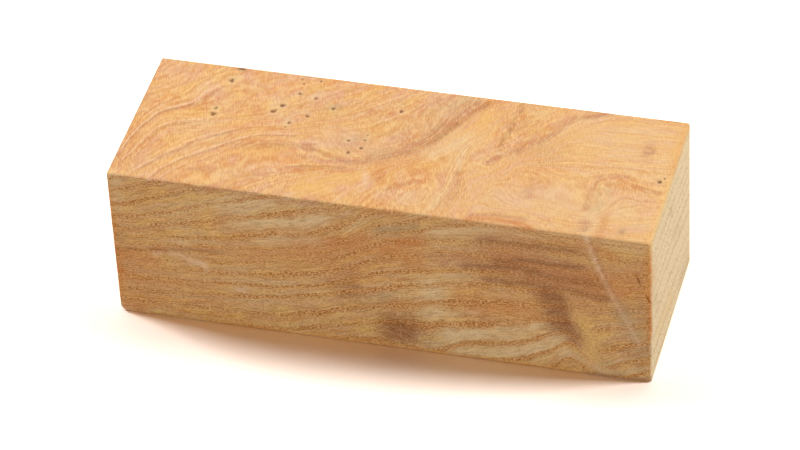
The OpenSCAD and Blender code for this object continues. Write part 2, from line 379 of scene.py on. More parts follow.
# Where the pores and streaks fade or, with a strength below zero, grow stronger, written as stains are
CALM = {
    "front": (
        (7, 0.8, (86, 8), (98, 11), (112, 12)), (4.5, 0.6, (109, 19), (117, 24)),
        (2.6, 1, (104.5, 22), (106, 28), (108, 36), (109, 39)), (3.5, 0.6, (63, 33), (66, 33)),
        (3, 0.55, (27, 17.4), (36, 16.6), (46, 15)), (5, 0.4, (5, 26), (16, 24)),
        (4, 0.35, (22, 37), (34, 35)), (4, 0.5, (66, 10), (70, 10)), (3, 0.6, (100, 18), (102, 26)),
    ),
    "top": (
        (9, 0.85, (104, 8), (116, 8)), (1.6, -0.9, (105.6, 24), (105.8, 29), (107, 34)),
        (1.6, -0.7, (108, 22.6), (113.5, 25.6)), (1.3, -0.9, (76, 27), (77, 31), (75.6, 36)),
        (2.2, -0.7, (61, 36), (64, 34.5), (66.6, 32)), (1.2, -0.9, (85.6, 26), (85.4, 30)),
        (1.6, -0.6, (35, 40), (36.6, 36.6), (39, 36)), (1.2, -0.7, (82.2, 2), (82.6, 12)),
        (1.3, -0.6, (81, 16), (83, 15)), (7, 0.7, (86, 34), (98, 31), (114, 36)),
        (4, 0.6, (44, 37), (52, 34)), (3, 0.6, (70, 19), (76, 8)),
    ),
}

# Dark cracks, written as stains are
CRACKS = {
    "front": (
        (0.35, 0.5, (0, 21.1), (6, 20.4), (12, 19.6)), (0.45, 0.4, (12, 19.6), (18, 18.5), (25, 18.2)),
    ),
    "top": (
        (0.35, 0.12, (47, 27.6), (51, 28), (55, 26.9)),
        (0.3, 0.4, (66.8, 17.6), (68.6, 14.8), (69.8, 12), (70.8, 9.4)),
        (0.6, 0.85, (18.4, 0.5), (19.2, 0.6)),
    ),
}

# Share of the wood's speckled ring bands that shows on the ends, on the sides and on the top and bottom
END_BAND = 0.55
SIDE_BAND = 1.0
TOP_BAND = 0.1

# Share of the upper face's ring numbers that the ends leave out, so that their lines run nearly level
END_LEVELLING = 0.8

# Lattice steps in mm along the block's length, width and height
LENGTH_STEP = 0.8
WIDTH_STEP = 0.45
HEIGHT_STEP = 0.7

EYE_STEP = 0.45
EYES_STOP = -1.5
CHECK_SIDE_STEP = 0.15
CHECKS_START = 56.3
CHECK_UP_STEP = 0.3
CHECKS_LOWEST = 21.8
CHECKS_HIGHEST = 30.5
CORNER_STEP = 0.4
CORNER_STOP = 2

# Lattice cells across an ease, and places at which the spacing of lattice lines is added up
EASE_CELLS = 3
WALK_PLACES = 6001

# Thin plates: mm in one unit, least squared distance, give of the plate, mm between places on a ring
PLATE_SCALE = 60.0
PLATE_NEAR = 1e-9
PLATE_GIVE = 2e-4
PLATE_SPACING = 4.0

# Strokes: spreads beyond its line at which one ends, mm that stains wander, mm of one wave of that, and
# waves that are averaged
STROKE_REACH = 2.5
STROKE_DRIFT = 0.6
STROKE_WAVE = 9.0
DRIFT_WAVES = 6

# Least half-width of a check that is divided by, as a share of its opening
CHECK_LEAST = 0.01

# Most half-openings from an eye's middle that are told apart
EYE_LIMIT = 3.0

# Noise over the block: scale per mm, detail and roughness
CLOUDS = (0.10, 4.0, 0.6)
PATCHES = (0.45, 3.0, 0.6)
WANDER = (0.22, 2.0)
WOBBLE = (0.9, 1.0)
PORE_CLUSTERS = (0.33, 2.0)
BAND_BOLDNESS = (0.07, 2.0)
BAND_BREADTH = (0.13, 1.0)
EYE_EDGE = (1.6, 1.0)

# Pores per mm along the three axes, on the sides and, along fibres turned level, on the upper face
SIDE_PORES = (1.7, 1.0, 3.2)
TOP_PORES = (3.6, 0.7, 1.8)
FIBRE_TURN = math.radians(-14)
PORE_NOISE = (1.0, 1.0)

# Noise drawn out along the rings: scale per mm along a ring and per ring across it, then as other noise
STREAKS = ((0.04, 2.6), (1.0, 4.0, 0.65))
RIBBONS = ((0.12, 2.4), (1.0, 3.0, 0.65))
THREADS = ((0.4, 11.0), (1.0, 1.0))
GROWTH_LINES = (9.0, 2.0)

# How far the ring lines wander and wobble and the bands' breadth varies, in rings, and the eyes' edges, in
# half-openings
WANDER_REACH = 0.4
WOBBLE_REACH = 0.10
BREADTH_REACH = 0.4

EYE_EDGE_REACH = 0.9

# Noise between which marks rise from nothing or fall to nothing
CLUSTER_RISE = (0.38, 0.62)
BOLD_RISE = (0.36, 0.6)
BLUSH_FALL = (0.38, 0.5)
HONEY_RISE = (0.5, 0.61)
THREAD_FALL = (0.34, 0.5)
PALE_THREAD_RISE = (0.5, 0.66)
GROWTH_FALL = (0.3, 0.46)
PALE_GROWTH_RISE = (0.54, 0.7)
PORE_RISE = (0.5, 0.62)
FLECK_FALL = (0.38, 0.5)

# Half-openings from an eye's middle between which its rim rises and falls and its dark bottom falls
EYE_RIM_RISE = (0.8, 1.2)
EYE_RIM_FALL = (1.2, 2.2)
EYE_FALL = (0.35, 1.0)

# Parts of a ring, from 0 at its start to 1 at the next, over which its marks rise and fall
BAND_RISE = (0.0, 0.13)
BAND_FALL = (0.17, 0.48)
PALE_SEAM_RISE = (0.80, 0.90)
PALE_SEAM_FALL = (0.95, 1.0)
BROWN_SEAM_RISE = (0.0, 0.03)
BROWN_SEAM_FALL = (0.05, 0.2)

# Tones of the ground at its deep, middle and light colours, and the clouds' share in the tone
TONE_STOPS = (0.38, 0.5, 0.62)
CLOUD_SHARE = 0.25

# How thickly pores and flecks lie: in bands, in dark stains and elsewhere on the sides, and on the top
BAND_PORES = 0.9
STAIN_PORES = 0.5
PLAIN_PORES = 0.42
UPPER_PORES = 0.5

# How much patches and streaks break up the stains
PATCH_BREAK = 0.8
STREAK_BREAK = 2.0

# Strength of the washes of colour
HONEY_RIBBON_WASH = 0.5
END_WASH = 0.8
BAND_WASH = 0.75
BROWN_SEAM_WASH = 0.6
PALE_SEAM_WASH = 0.9
THREAD_WASH = 0.32
PALE_GROWTH_WASH = 0.5
PORE_WASH = 0.85
EYE_RIM_WASH = 0.35
EYE_WASH = 0.8

# How much the growth lines shade the wood
GROWTH_SHADE = 0.2

# Relief and sheen of the sanded wood
GROWTH_RELIEF = 0.4
THREAD_RELIEF = 0.3
RELIEF_STRENGTH = 0.12
RELIEF_HEIGHT = 0.1 * MM
ROUGHNESS = 0.5
ROUGHNESS_SWING = 0.25
END_ROUGHNESS = 0.35
SPECULAR = 0.25

# Softboxes: place, width and depth in metres
KEY_BOX = ((-0.05, 0.35, 0.94), 1.2, 0.45)
RIGHT_BOX = ((0.78, 0.16, 0.42), 0.2, 0.45)
LEFT_BOX = ((-0.65, 0.14, 0.60), 0.2, 0.45)
FRONT_BOX = ((-0.1, -1.3, 0.016), 0.9, 0.032)

# Numbers of the sockets of a Mix node that mixes colours
MIX_SHARE = 0
MIX_FIRST = 6
MIX_SECOND = 7
MIX_RESULT = 2

# How far the camera sees, in half-sides of the floor
FAR_CLIP = 4


def linear(red, green, blue):
    """Scene colour of a written colour: each 0-255 value through the curve of the screen standard."""
    written = np.array([red, green, blue]) / 255
    return np.where(written > 0.04045, ((written + 0.055) / 1.055) ** 2.4, written / 12.92).tolist()


def length_setting(name, description, millimetres):
    """A length in the sidebar, given in millimetres."""
    metres = millimetres * MM
    return FloatProperty(name=name, description=description, default=metres, unit="LENGTH", precision=5)


def angle_setting(name, description, degrees):
    """An angle in the sidebar, given in degrees."""
    radians = math.radians(degrees)
    return FloatProperty(name=name, description=description, default=radians, subtype="ANGLE")


def power_setting(name, description, watts):
    """A light's power in the sidebar, given in watts."""
    return FloatProperty(name=name, description=description, default=watts, unit="POWER")


def camera_setting(name, description, millimetres):
    """A size of the camera in the sidebar, given in millimetres."""
    return FloatProperty(name=name, description=description, default=millimetres, unit="CAMERA")


def number_setting(name, description, number):
    """A plain number in the sidebar."""
    return FloatProperty(name=name, description=description, default=number)


def colour_setting(name, description, red, green, blue):
    """A colour in the sidebar, written as 0-255 values."""
    return FloatVectorProperty(
        name=name, description=description, subtype="COLOR", min=0, max=1, default=linear(red, green, blue)
    )


class BurlBlockSettings(bpy.types.PropertyGroup):
    """Sizes and colours of the block."""

    edge_ease: length_setting("Edge ease", "Radius of the sanded ease along every edge", 0.5)
    corner_loss: length_setting("Corner loss", "Length each edge loses at the bumped corner", 1.4)
    eye_large: length_setting("Large eye", "Opening of a large burl eye", 1.8)
    eye_middling: length_setting("Middling eye", "Opening of a middling burl eye", 1.3)
    eye_small: length_setting("Small eye", "Opening of a small burl eye", 0.9)
    eye_depth: length_setting("Eye depth", "Depth of an open eye below the upper face", 0.3)
    check_length: length_setting("Check length", "Length of a drying check", 3.4)
    check_opening: length_setting("Check opening", "Opening of a drying check at its middle", 0.35)
    check_depth: length_setting("Check depth", "Depth of a drying check", 1.2)
    check_lean: angle_setting("Check lean", "Lean of the checks from upright", 22)
    top_ground: colour_setting("Top ground", "Main colour of the upper face", 230, 174, 118)
    top_deep: colour_setting("Top deep", "Darker clouds of the upper face", 232, 160, 98)
    top_light: colour_setting("Top light", "Paler clouds of the upper face", 235, 196, 150)
    side_ground: colour_setting("Side ground", "Main colour of the sides", 219, 167, 106)
    side_deep: colour_setting("Side deep", "Darker clouds of the sides", 212, 146, 76)
    side_light: colour_setting("Side light", "Paler clouds of the sides", 222, 183, 131)
    cream: colour_setting("Cream", "Pale patches and lines", 237, 203, 152)
    # This colour also paints the highlight along the lower and right front edges
    honey_and_edge_highlight: colour_setting("Honey", "Yellow patches and ribbons", 242, 190, 106)
    rose: colour_setting("Rose", "Pinkish brown streaks", 186, 120, 96)
    ash: colour_setting("Ash", "Grey patches", 170, 140, 100)
    # This colour also tints the painted highlight along the lower and right front edges orange
    rust_and_edge_highlight: colour_setting("Rust", "Orange brown streaks", 206, 114, 42)
    # This colour also paints a faint band of shade from the wood's shifting sheen
    umber_and_sheen_shade: colour_setting("Umber", "Dark brown streaks", 128, 70, 38)
    band: colour_setting("Band", "Golden brown of the ring bands", 202, 126, 46)
    pore: colour_setting("Pore", "Dark pores of the sides", 160, 94, 36)
    fleck: colour_setting("Fleck", "Bright flecks between the pores", 246, 206, 144)
    scar: colour_setting("Scar", "Whitish pink marks", 244, 206, 168)
    stroke: colour_setting("Stroke", "Darker pores and lines of the upper face", 216, 138, 74)
    blush: colour_setting("Blush", "Pinkish tan ribbons", 228, 174, 148)
    eye: colour_setting("Eye", "Dark bottom of an open eye", 108, 62, 32)
    end_grain: colour_setting("End grain", "Pale wood of the sawn ends", 247, 229, 192)
    end_band: colour_setting("End band", "Pale tan of the ring bands on the ends", 216, 184, 134)
    end_pore: colour_setting("End pore", "Dark pores of the ends", 184, 142, 94)


class BurlStageSettings(bpy.types.PropertyGroup):
    """Camera, lights and floor."""

    azimuth: angle_setting("Azimuth", "Camera's turn to the right", 16.47)
    elevation: angle_setting("Elevation", "Camera's height above the horizon", 39.61)
    roll: angle_setting("Roll", "Camera's lean to its right", 3.20)
    distance: length_setting("Distance", "From the camera to the point it aims at", 942.1)
    aim: FloatVectorProperty(
        name="Aim", description="Point the camera aims at", default=(-0.69 * MM, 0, 17.13 * MM),
        subtype="TRANSLATION",
    )
    lens: camera_setting("Lens", "Focal length", 192.9)
    sensor: camera_setting("Sensor", "Width of the sensor", 36)
    floor_half: length_setting("Floor", "Half the side of the floor", 6000)
    floor_drop: length_setting("Floor drop", "Gap that keeps the floor clear of the underside", 0.05)
    key_power: power_setting("Key", "Power of the softbox overhead", 3.85)
    right_power: power_setting("Right", "Power of the softbox on the right", 6.2)
    left_power: power_setting("Left", "Power of the softbox on the left", 4.6)
    front_power: power_setting("Front", "Power of the softbox in front", 9.8)
    room: number_setting("Room", "Level of the light from all round", 0.002)
    floor_colour: colour_setting("Floor colour", "Colour the floor lights the block with", 110, 110, 110)
    floor_shown: number_setting("Floor shown", "Brightness of the floor in the picture", 1.8)
    floor_warmth: colour_setting("Floor warmth", "Colour the floor's shadow takes", 255, 243, 234)


def lattice_lines(low, high, ease, step, closer):
    """Places of lattice lines along one axis: inside each ease at the tangents of equal turns of its arc,
    and between them at steps of the given length, or of the closer length inside each closer span."""
    arc = ease * np.tan(np.linspace(0, math.pi / 4, EASE_CELLS + 1))
    walk = np.linspace(low + ease, high - ease, WALK_PLACES)
    length = np.full(walk.shape, step)
    for start, end, close_step in closer:
        length[(walk >= start) & (walk <= end)] = close_step
    passed = np.concatenate([[0], np.cumsum(np.diff(walk) / length[1:])])
    inner = np.interp(np.linspace(0, passed[-1], round(passed[-1]) + 1), passed, walk)
    return np.concatenate([(low + ease - arc[::-1])[:-1], inner, (high - ease + arc)[1:]])


def block_lattice(low, high, ease):
    """Lattice lines along the three axes, closer by the eyes, the checks and the bumped corner."""
    by_eyes = (low[0], EYES_STOP, EYE_STEP)
    beside_checks = (CHECKS_START, high[0], CHECK_SIDE_STEP)
    by_corner = (low[2], CORNER_STOP, CORNER_STEP)
    along_checks = (CHECKS_LOWEST, CHECKS_HIGHEST, CHECK_UP_STEP)
    return [
        lattice_lines(low[0], high[0], ease, LENGTH_STEP, (by_eyes, beside_checks)),
        lattice_lines(low[1], high[1], ease, WIDTH_STEP, ()),
        lattice_lines(low[2], high[2], ease, HEIGHT_STEP, (by_corner, along_checks)),
    ]


def lattice_skin(counts):
    """Skin of a box lattice: the lattice points on an outer plane are numbered once, and each outer
    plane's numbers are joined into quads that run round the outward normal. Gives the points' line
    numbers and the quads."""
    skin = np.zeros(counts, bool)
    for axis in range(3):
        np.moveaxis(skin, axis, 0)[[0, -1]] = True
    number = np.full(counts, -1)
    number[skin] = np.arange(np.count_nonzero(skin))
    quads = []
    for axis in range(3):
        turned = number.transpose(axis, (axis + 1) % 3, (axis + 2) % 3)
        for plane, order in ((turned[0], -1), (turned[-1], 1)):
            corners = (plane[:-1, :-1], plane[1:, :-1], plane[1:, 1:], plane[:-1, 1:])
            quads.append(np.stack(corners, axis=-1).reshape(-1, 4)[:, ::order])
    return np.nonzero(skin), np.concatenate(quads)


def eased_box(points, low, high, ease):
    """Box with eased edges: each point of the sharp box is drawn in to the box less its ease, then set out
    again by the ease along the same line. Gives the places and the outward directions."""
    inner = np.clip(points, low + ease, high - ease)
    outward = points - inner
    outward /= np.linalg.norm(outward, axis=1, keepdims=True)
    return inner + ease * outward, outward


def cut_corner(points, corner, loss):
    """Flat on a corner: points nearer the sharp corner than the flat, along the corner's inward diagonal,
    are pushed in to the flat."""
    inward = np.full(3, 1 / math.sqrt(3))
    short = loss / math.sqrt(3) - (points - corner) @ inward
    return points + np.maximum(short, 0)[:, None] * inward


def press_eyes(points, upper, eyes, depth):
    """Shallow round pits in the upper face: inside an eye's opening the height is the lower side of the
    ball whose cap is as wide as the opening and as deep as the eye."""
    pressed = points.copy()
    top = points[:, 2] > upper - depth
    for x, y, opening in eyes:
        ball = ((opening / 2) ** 2 + depth**2) / (2 * depth)
        away = (points[:, 0] - x) ** 2 + (points[:, 1] - y) ** 2
        inside = top & (away < (opening / 2) ** 2)
        bottom = upper + ball - depth - np.sqrt(np.maximum(ball**2 - away, 0))
        pressed[inside, 2] = np.minimum(pressed[inside, 2], bottom[inside])
    return pressed


def open_checks(points, front, checks, length, opening, depth, lean):
    """Slits in the front face: a slit's mouth is the lens between two shallow arcs, and the surface inside
    it goes back as a hollow that is deepest along the middle line."""
    opened = points.copy()
    arc = (length**2 + opening**2) / (4 * opening)
    face = points[:, 1] < front + depth / 2
    for x, z in checks:
        side = points[:, 0] - x
        up = points[:, 2] - z
        along = up * math.cos(lean) - side * math.sin(lean)
        across = side * math.cos(lean) + up * math.sin(lean)
        half = np.sqrt(np.maximum(arc**2 - along**2, 0)) - (arc - opening / 2)
        share = np.clip(1 - (across / np.maximum(half, CHECK_LEAST * opening)) ** 2, 0, 1)
        opened[:, 1] += np.where(face & (half > 0), depth * share, 0)
    return opened


def thin_plate(rings, spacing):
    """Smooth height over a plane that takes each ring's number along its line: the thin plate spline, a
    tilted plane plus one r squared log r bump for each place. Gives a function of two coordinates."""
    places, heights = [], []
    for height, *line in rings:
        line = np.array(line, float)
        run = np.concatenate([[0], np.cumsum(np.hypot(*np.diff(line, axis=0).T))])
        stops = np.linspace(0, run[-1], max(2, round(run[-1] / spacing) + 1))
        places.append(np.column_stack([np.interp(stops, run, side) for side in line.T]))
        heights.append(np.full(len(stops), height, float))
    places = np.concatenate(places) / PLATE_SCALE
    heights = np.concatenate(heights)

    def bumps(where):
        square = ((where[:, None] - places[None]) ** 2).sum(axis=2)
        return 0.5 * square * np.log(np.maximum(square, PLATE_NEAR))

    def tilts(where):
        return np.column_stack([np.ones(len(where)), where])

    tilt = tilts(places)
    count, terms = tilt.shape
    system = np.zeros((count + terms, count + terms))
    system[:count, :count] = bumps(places) + PLATE_GIVE * np.eye(count)
    system[:count, count:] = tilt
    system[count:, :count] = tilt.T
    weights = np.linalg.solve(system, np.concatenate([heights, np.zeros(terms)]))

    def height_at(along, across):
        where = np.column_stack([along.ravel(), across.ravel()]) / PLATE_SCALE
        flat = bumps(where) @ weights[:count] + tilts(where) @ weights[count:]
        return flat.reshape(along.shape)

    return height_at


def ring_numbers(lines, picked, low, high, share):
    """Ring number of each skin point: the front face's number at its length and height, plus what the
    upper face's number gains from the front edge back to the point, most of which the ends leave out.
    On the upper face the step between the two faces' numbers at their shared edge is added, so that it
    keeps numbers of its own."""
    i, j, k = picked
    front_height = thin_plate(FRONT_RINGS, PLATE_SPACING)
    top_height = thin_plate(TOP_RINGS, PLATE_SPACING)
    along = lines[0] - low[0]
    front_ring = front_height(*np.meshgrid(along, high[2] - lines[2], indexing="ij"))
    top_ring = top_height(*np.meshgrid(along, high[1] - lines[1], indexing="ij"))
    edge_ring = top_height(along, np.full(len(along), high[1] - low[1]))
    join = edge_ring - front_height(along, np.zeros(len(along)))
    gained = (1 - END_LEVELLING * share[:, 0]) * (top_ring[i, j] - edge_ring[i])
    return front_ring[i, k] + gained + share[:, 2] * join[i]


def on_face(face, places, size):
    """Points of the block, in mm from the middle of the underside, of places in a face's two lengths."""
    first, second = np.array(places, float).T
    length, width, height = size
    whole = np.ones(len(first))
    along = first - length / 2
    across = first - width / 2
    forward = width / 2 - second
    up = height - second
    points = {
        "front": (along, -width / 2 * whole, up),
        "back": (along, width / 2 * whole, up),
        "top": (along, forward, height * whole),
        "bottom": (along, forward, 0 * whole),
        "left": (-length / 2 * whole, across, up),
        "right": (length / 2 * whole, across, up),
    }
    return np.column_stack(points[face])


def distance_to_line(points, line):
    """Distance of each point to the nearest place on a line of straight runs."""
    nearest = np.full(len(points), np.inf)
    for start, end in zip(line[:-1], line[1:]):
        run = end - start
        share = np.clip((points - start) @ run / (run @ run), 0, 1)
        nearest = np.minimum(nearest, np.linalg.norm(points - start - share[:, None] * run, axis=1))
    return nearest


def drift(points, reach, wave):
    """Slow wandering of places: a few sine waves in fixed random directions, averaged for each axis."""
    draw = np.random.default_rng(SEED)
    turned = draw.normal(size=(DRIFT_WAVES, 3)) * 2 * math.pi / wave
    start = draw.uniform(0, 2 * math.pi, size=(DRIFT_WAVES, 3))
    swing = np.sin((points @ turned.T)[:, :, None] + start[None])
    return points + reach * swing.mean(axis=1)


def stain_strength(points, strokes_by_face, size):
    """How strongly a stain shows: each stroke fades as a bell of the distance from its line, and strokes
    lie over one another like washes."""
    clear = np.ones(len(points))
    for face, strokes in strokes_by_face.items():
        for spread, strength, *places in strokes:
            line = on_face(face, places, size)
            reach = STROKE_REACH * spread
            inside = (points > line.min(axis=0) - reach) & (points < line.max(axis=0) + reach)
            near = np.all(inside, axis=1)
            bell = np.exp(-((distance_to_line(points[near], line) / spread) ** 2))
            clear[near] *= 1 - strength * bell
    return 1 - clear


def eye_share(points, eyes, limit):
    """Distance from the middle of the nearest eye as a share of half its opening, up to a limit, measured
    level."""
    nearest = np.full(len(points), limit)
    for x, y, opening in eyes:
        share = np.hypot(points[:, 0] - x, points[:, 1] - y) / (opening / 2)
        nearest = np.minimum(nearest, share)
    return nearest


def new_piece(name, points, faces):
    """A smooth-shaded mesh object at the origin."""
    mesh = bpy.data.meshes.new(name)
    mesh.from_pydata(points, [], faces)
    mesh.polygons.foreach_set("use_smooth", np.ones(len(mesh.polygons), bool))
    mesh.update()
    piece = bpy.data.objects.new(name, mesh)
    bpy.context.scene.collection.objects.link(piece)
    return piece


def add_values(piece, name, first, second, third):
    """Keeps three values for each vertex as a vector attribute."""
    values = np.column_stack([first, second, third]).astype(np.float32)
    piece.data.attributes.new(name, "FLOAT_VECTOR", "POINT").data.foreach_set("vector", values.ravel())


class Wire:
    """One value in a shader tree. Sums, differences and products of values add Math nodes."""

    def __init__(self, tree, socket):
        self.tree = tree
        self.socket = socket

    def node(self, kind, settings=None, sockets=None, output=0):
        """Adds a node of a type, makes its settings, fills or links its sockets and gives one output, if
        it has any."""
        made = self.tree.nodes.new(kind)
        for name, value in (settings or {}).items():
            if name == "stops":
                ramp = made.color_ramp.elements
                for stop, (place, colour) in zip(ramp, value):
                    stop.position = place
                    stop.color = colour
                for place, colour in value[len(ramp):]:
                    ramp.new(place).color = colour
            else:
                setattr(made, name, value)
        for name, value in (sockets or {}).items():
            if isinstance(value, Wire):
                self.tree.links.new(value.socket, made.inputs[name])
            else:
                made.inputs[name].default_value = value
        return Wire(self.tree, made.outputs[output] if made.outputs else None)

    def math(self, operation, *values):
        """A Math node on the values."""
        return self.node("ShaderNodeMath", {"operation": operation}, dict(enumerate(values)))

    def __add__(self, other):
        return self.math("ADD", self, other)

    __radd__ = __add__

    def __sub__(self, other):
        return self.math("SUBTRACT", self, other)

    def __rsub__(self, other):
        return self.math("SUBTRACT", other, self)

    def __mul__(self, other):
        return self.math("MULTIPLY", self, other)

    __rmul__ = __mul__

    def step(self, low, high):
        """Smooth rise from 0 at the low value to 1 at the high one."""
        sockets = {"Value": self, "From Min": low, "From Max": high}
        return self.node("ShaderNodeMapRange", {"interpolation_type": "SMOOTHSTEP"}, sockets)

    def fall(self, low, high):
        """Smooth fall from 1 at the low value to 0 at the high one."""
        return 1 - self.step(low, high)

    def ranging(self, low, high):
        """Value that runs from the low one where this is 0 to the high one where this is 1."""
        return self * (high - low) + low

    def swing(self):
        """Noise less its middle, a half."""
        return self - 0.5

    def parts(self):
        """The three parts of a vector."""
        first = self.node("ShaderNodeSeparateXYZ", sockets={0: self})
        return [Wire(self.tree, socket) for socket in first.socket.node.outputs]

    def kept(self, name):
        """The three values that the mesh keeps under a name."""
        return self.node("ShaderNodeAttribute", {"attribute_name": name}, output="Vector").parts()

    def scaled(self, factor):
        """A vector or colour times a value."""
        return self.node("ShaderNodeVectorMath", {"operation": "SCALE"}, {0: self, "Scale": factor})

    def stretched(self, *factors):
        """A vector with each part times its own number."""
        return self.node("ShaderNodeVectorMath", {"operation": "MULTIPLY"}, {0: self, 1: factors})

    def turned_level(self, angle):
        """A vector turned about the upright axis."""
        sockets = {"Vector": self, "Angle": angle}
        return self.node("ShaderNodeVectorRotate", {"rotation_type": "Z_AXIS"}, sockets)

    def noise(self, scale, detail=0.0, roughness=0.5):
        """Noise over this vector, around a half."""
        sockets = {"Vector": self, "Scale": scale, "Detail": detail, "Roughness": roughness}
        return self.node("ShaderNodeTexNoise", {"noise_dimensions": "3D"}, sockets)

    def along_rings(self, ring, run, noise):
        """Noise drawn out along the rings: its coordinates are the level place and the height added to the
        depth, both times one number of the run, with the ring number times the other as the third part."""
        length, thickness = run
        level, depth, height = self.parts()
        sockets = {0: level * length, 1: (depth + height) * length, 2: ring * thickness}
        return self.node("ShaderNodeCombineXYZ", sockets=sockets).noise(*noise)

    def line_noise(self, scale, detail=0.0):
        """Noise along this value, around a half."""
        sockets = {"W": self, "Scale": scale, "Detail": detail}
        return self.node("ShaderNodeTexNoise", {"noise_dimensions": "1D"}, sockets)

    def three_tones(self, deep, ground, light):
        """Colour that runs from a deep one through the ground to a light one as this value rises."""
        stops = [(place, opaque(colour)) for place, colour in zip(TONE_STOPS, (deep, ground, light))]
        return self.node("ShaderNodeValToRGB", {"stops": stops}, {"Fac": self})

    def between(self, first, second):
        """Colour between two colours, by this value."""
        sockets = {MIX_SHARE: self, MIX_FIRST: first, MIX_SECOND: second}
        return self.node("ShaderNodeMix", {"data_type": "RGBA"}, sockets, MIX_RESULT)

    def washed(self, colour, strength):
        """This colour covered by another one with the given strength."""
        settings = {"data_type": "RGBA", "clamp_factor": True}
        sockets = {MIX_SHARE: strength, MIX_FIRST: self, MIX_SECOND: colour}
        return self.node("ShaderNodeMix", settings, sockets, MIX_RESULT)

    def shown(self, kind):
        """Links this surface to a new output node."""
        self.node(kind, sockets={"Surface": self})


def opaque(colour):
    """A colour setting as a shader colour."""
    return (*colour, 1.0)


def new_shader(store, name):
    """A new material or world with an empty shader tree. Gives it and a wire to start from."""
    made = store.new(name)
    made.use_nodes = True
    made.node_tree.nodes.clear()
    return made, Wire(made.node_tree, None)


